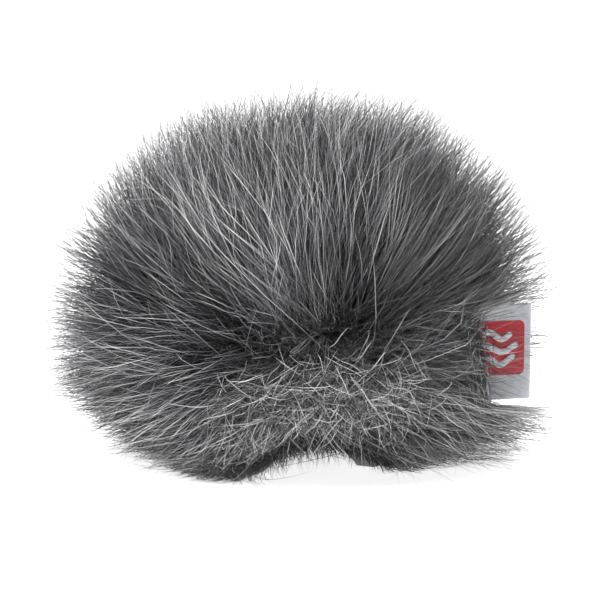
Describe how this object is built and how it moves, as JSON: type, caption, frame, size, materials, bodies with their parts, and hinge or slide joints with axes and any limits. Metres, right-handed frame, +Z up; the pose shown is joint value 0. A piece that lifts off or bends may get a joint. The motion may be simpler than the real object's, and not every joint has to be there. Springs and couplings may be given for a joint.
{
  "type": "furry windscreen",
  "caption": "Round long-pile windscreen cover with a sewn backing, foam former, elastic mouth underneath and a folded side label.",
  "frame": {"origin": "middle of the bounding box's underside, at the centre of the mouth, on the surface it stands on", "axes": "+Z up through the mouth's axis, -Y the front seen in the source picture, +X towards the side label"},
  "size_m": [0.093, 0.0838, 0.071],
  "materials": {
    "pile": "long grey acrylic pile",
    "backing_knit": "knitted ground cloth",
    "foam": "open-cell foam",
    "lining": "fine stretch mesh",
    "hem_tape": "folded knit tape",
    "elastic": "braided elastic",
    "sewing_thread": "polyester thread",
    "label_weave": "silver-grey satin weave"
  },
  "bodies": {
    "cover": {"pile_front_upper": "pile", "pile_front_lower": "pile", "pile_rear_upper": "pile", "pile_rear_lower": "pile", "backing_front_upper": "backing_knit", "backing_front_lower": "backing_knit", "backing_rear_upper": "backing_knit", "backing_rear_lower": "backing_knit", "foam_former_front": "foam", "foam_former_rear": "foam", "lining_front": "lining", "lining_rear": "lining", "mouth_hem": "hem_tape", "mouth_elastic": "elastic", "elastic_join": "sewing_thread", "front_seam_thread": "sewing_thread", "rear_seam_thread": "sewing_thread", "side_seam_thread": "sewing_thread", "hem_thread": "sewing_thread", "label_thread": "sewing_thread"},
    "label": {"label_tape": "label_weave"}
  },
  "joints": [
    {"name": "label_swing", "type": "hinge", "parent": "cover", "child": "label", "pos_m": [0.0244, 0, 0.0188], "axis": [0, 0, 1], "range_deg": [-15, 15], "stiffness_Nm_per_rad": 0.0002}
  ]
}
